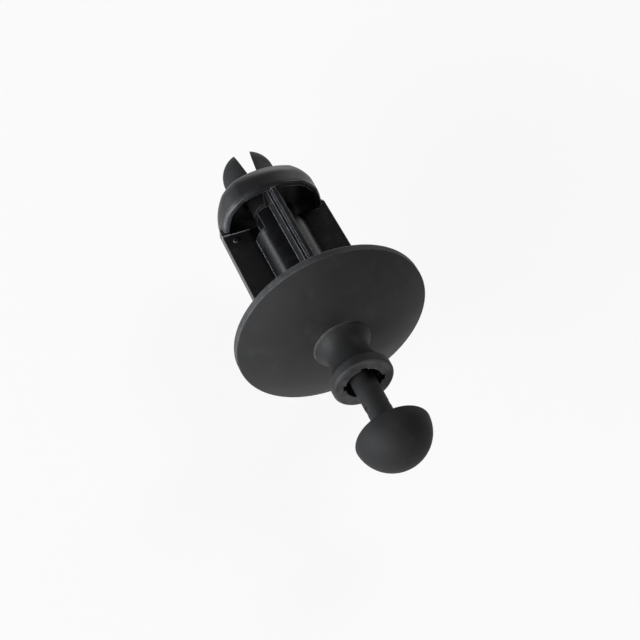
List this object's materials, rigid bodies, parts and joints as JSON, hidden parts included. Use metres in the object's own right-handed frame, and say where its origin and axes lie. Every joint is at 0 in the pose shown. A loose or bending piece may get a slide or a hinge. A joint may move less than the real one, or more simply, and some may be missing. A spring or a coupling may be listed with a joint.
{
  "type": "trunk lining clip",
  "caption": "Black plastic push clip for trunk lining: dished flange, winged plug body with a domed cap, and a sliding split pin with a half-round pull knob.",
  "frame": {"origin": "on the clip's axis, in the plane where the flange's rim seats on the lining", "axes": "+Y along the clip's axis towards the split tip, X along the wings, Z along the fins, the knob towards -Y"},
  "size_m": [0.025, 0.0537, 0.025],
  "materials": {
    "grommet_plastic": "satin black moulding, glossier on the plug body",
    "pin_plastic": "matte black moulding"
  },
  "bodies": {
    "grommet_body": {"grommet": "grommet_plastic"},
    "pin_body": {"push_pin": "pin_plastic"}
  },
  "joints": [
    {"name": "pin_slide", "type": "slide", "parent": "grommet_body", "child": "pin_body", "axis": [0, 1, 0], "range_m": [0, 0.0083]}
  ]
}
